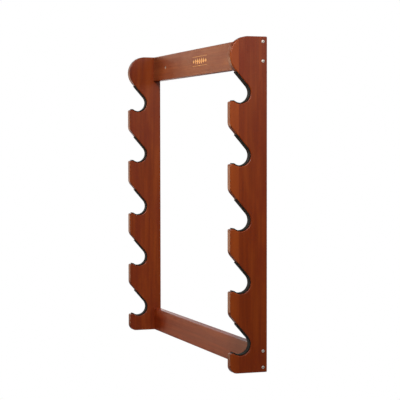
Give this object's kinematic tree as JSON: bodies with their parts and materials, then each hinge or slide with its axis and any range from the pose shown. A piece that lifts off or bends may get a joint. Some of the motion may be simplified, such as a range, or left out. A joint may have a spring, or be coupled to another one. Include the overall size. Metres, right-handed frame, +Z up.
{
  "type": "wall cue rack",
  "caption": "Open wooden wall rack: two notched side boards joined by a top rail and a bottom rail, with felt-lined notches that carry cues laid level.",
  "frame": {"origin": "on the wall plane, midway between the side boards, at the middle height of the top rail, which is the line of the two wall screws", "axes": "+X to the right as one faces the rack, +Y into the wall, +Z up"},
  "size_m": [0.794, 0.1183, 0.74],
  "materials": {
    "mahogany": "red-brown mahogany stain under a satin lacquer, grain along each board",
    "felt": "black-green wool felt",
    "screw_metal": "nickel-plated countersunk screws"
  },
  "bodies": {
    "root": {"left_side_board": "mahogany", "right_side_board": "mahogany", "top_rail": "mahogany", "bottom_rail": "mahogany", "left_liner_1": "felt", "left_liner_2": "felt", "left_liner_3": "felt", "left_liner_4": "felt", "left_liner_5": "felt", "right_liner_1": "felt", "right_liner_2": "felt", "right_liner_3": "felt", "right_liner_4": "felt", "right_liner_5": "felt", "joint_screw_left_top_upper": "screw_metal", "joint_screw_left_top_lower": "screw_metal", "joint_screw_left_bottom_upper": "screw_metal", "joint_screw_left_bottom_lower": "screw_metal", "joint_screw_right_top_upper": "screw_metal", "joint_screw_right_top_lower": "screw_metal", "joint_screw_right_bottom_upper": "screw_metal", "joint_screw_right_bottom_lower": "screw_metal", "wall_screw_left": "screw_metal", "wall_screw_right": "screw_metal"}
  },
  "joints": []
}
